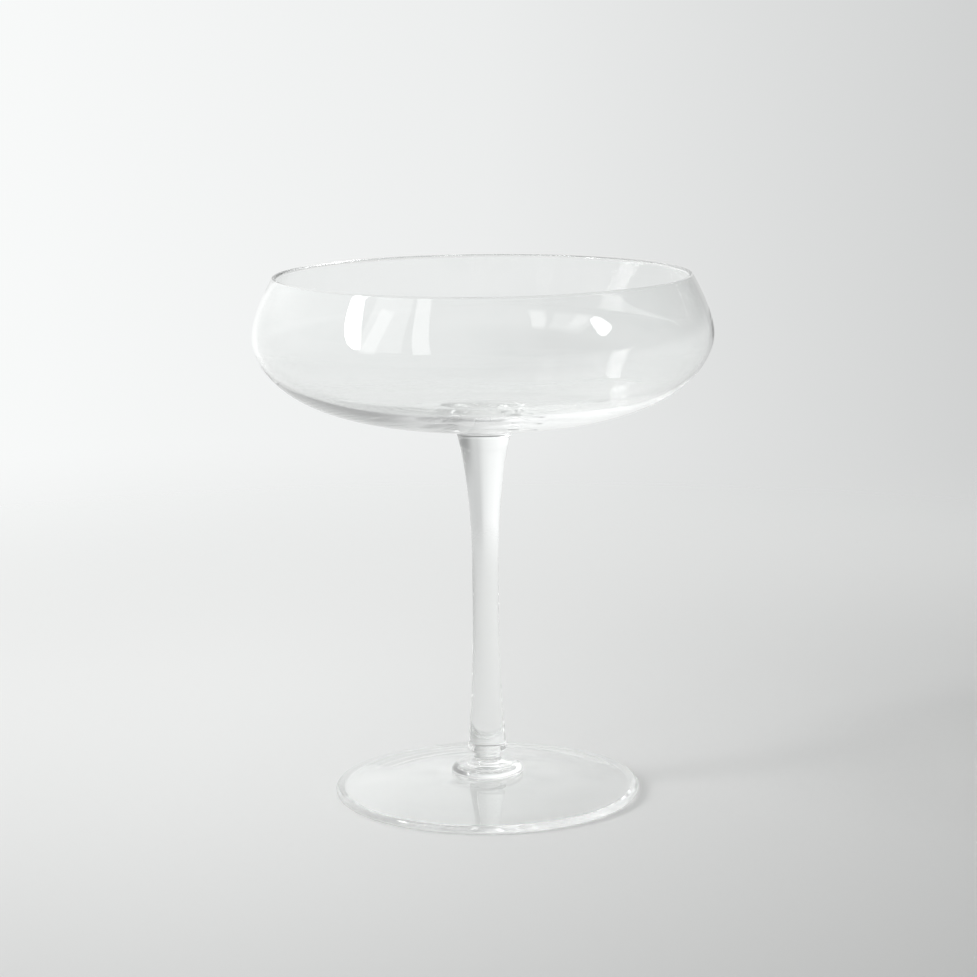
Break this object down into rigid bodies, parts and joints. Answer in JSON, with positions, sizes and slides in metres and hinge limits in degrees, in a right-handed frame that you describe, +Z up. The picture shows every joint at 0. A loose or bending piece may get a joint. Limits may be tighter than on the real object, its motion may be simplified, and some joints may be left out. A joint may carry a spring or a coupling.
{
  "type": "coupe glass",
  "caption": "Clear coupe glass with a shallow bowl whose lip curves inwards, a slender waisted stem, a small rounded collar and a wide round foot, for sparkling wine or cocktails.",
  "frame": {"origin": "centre of the foot on the surface that the glass stands on", "axes": "+Z up along the glass's axis of revolution, from the foot to the rim"},
  "size_m": [0.1215, 0.1214, 0.14],
  "materials": {
    "clear_glass": "clear blown glass, fire-polished"
  },
  "bodies": {
    "root": {"bowl": "clear_glass", "stem": "clear_glass", "collar": "clear_glass", "foot": "clear_glass"}
  },
  "joints": []
}
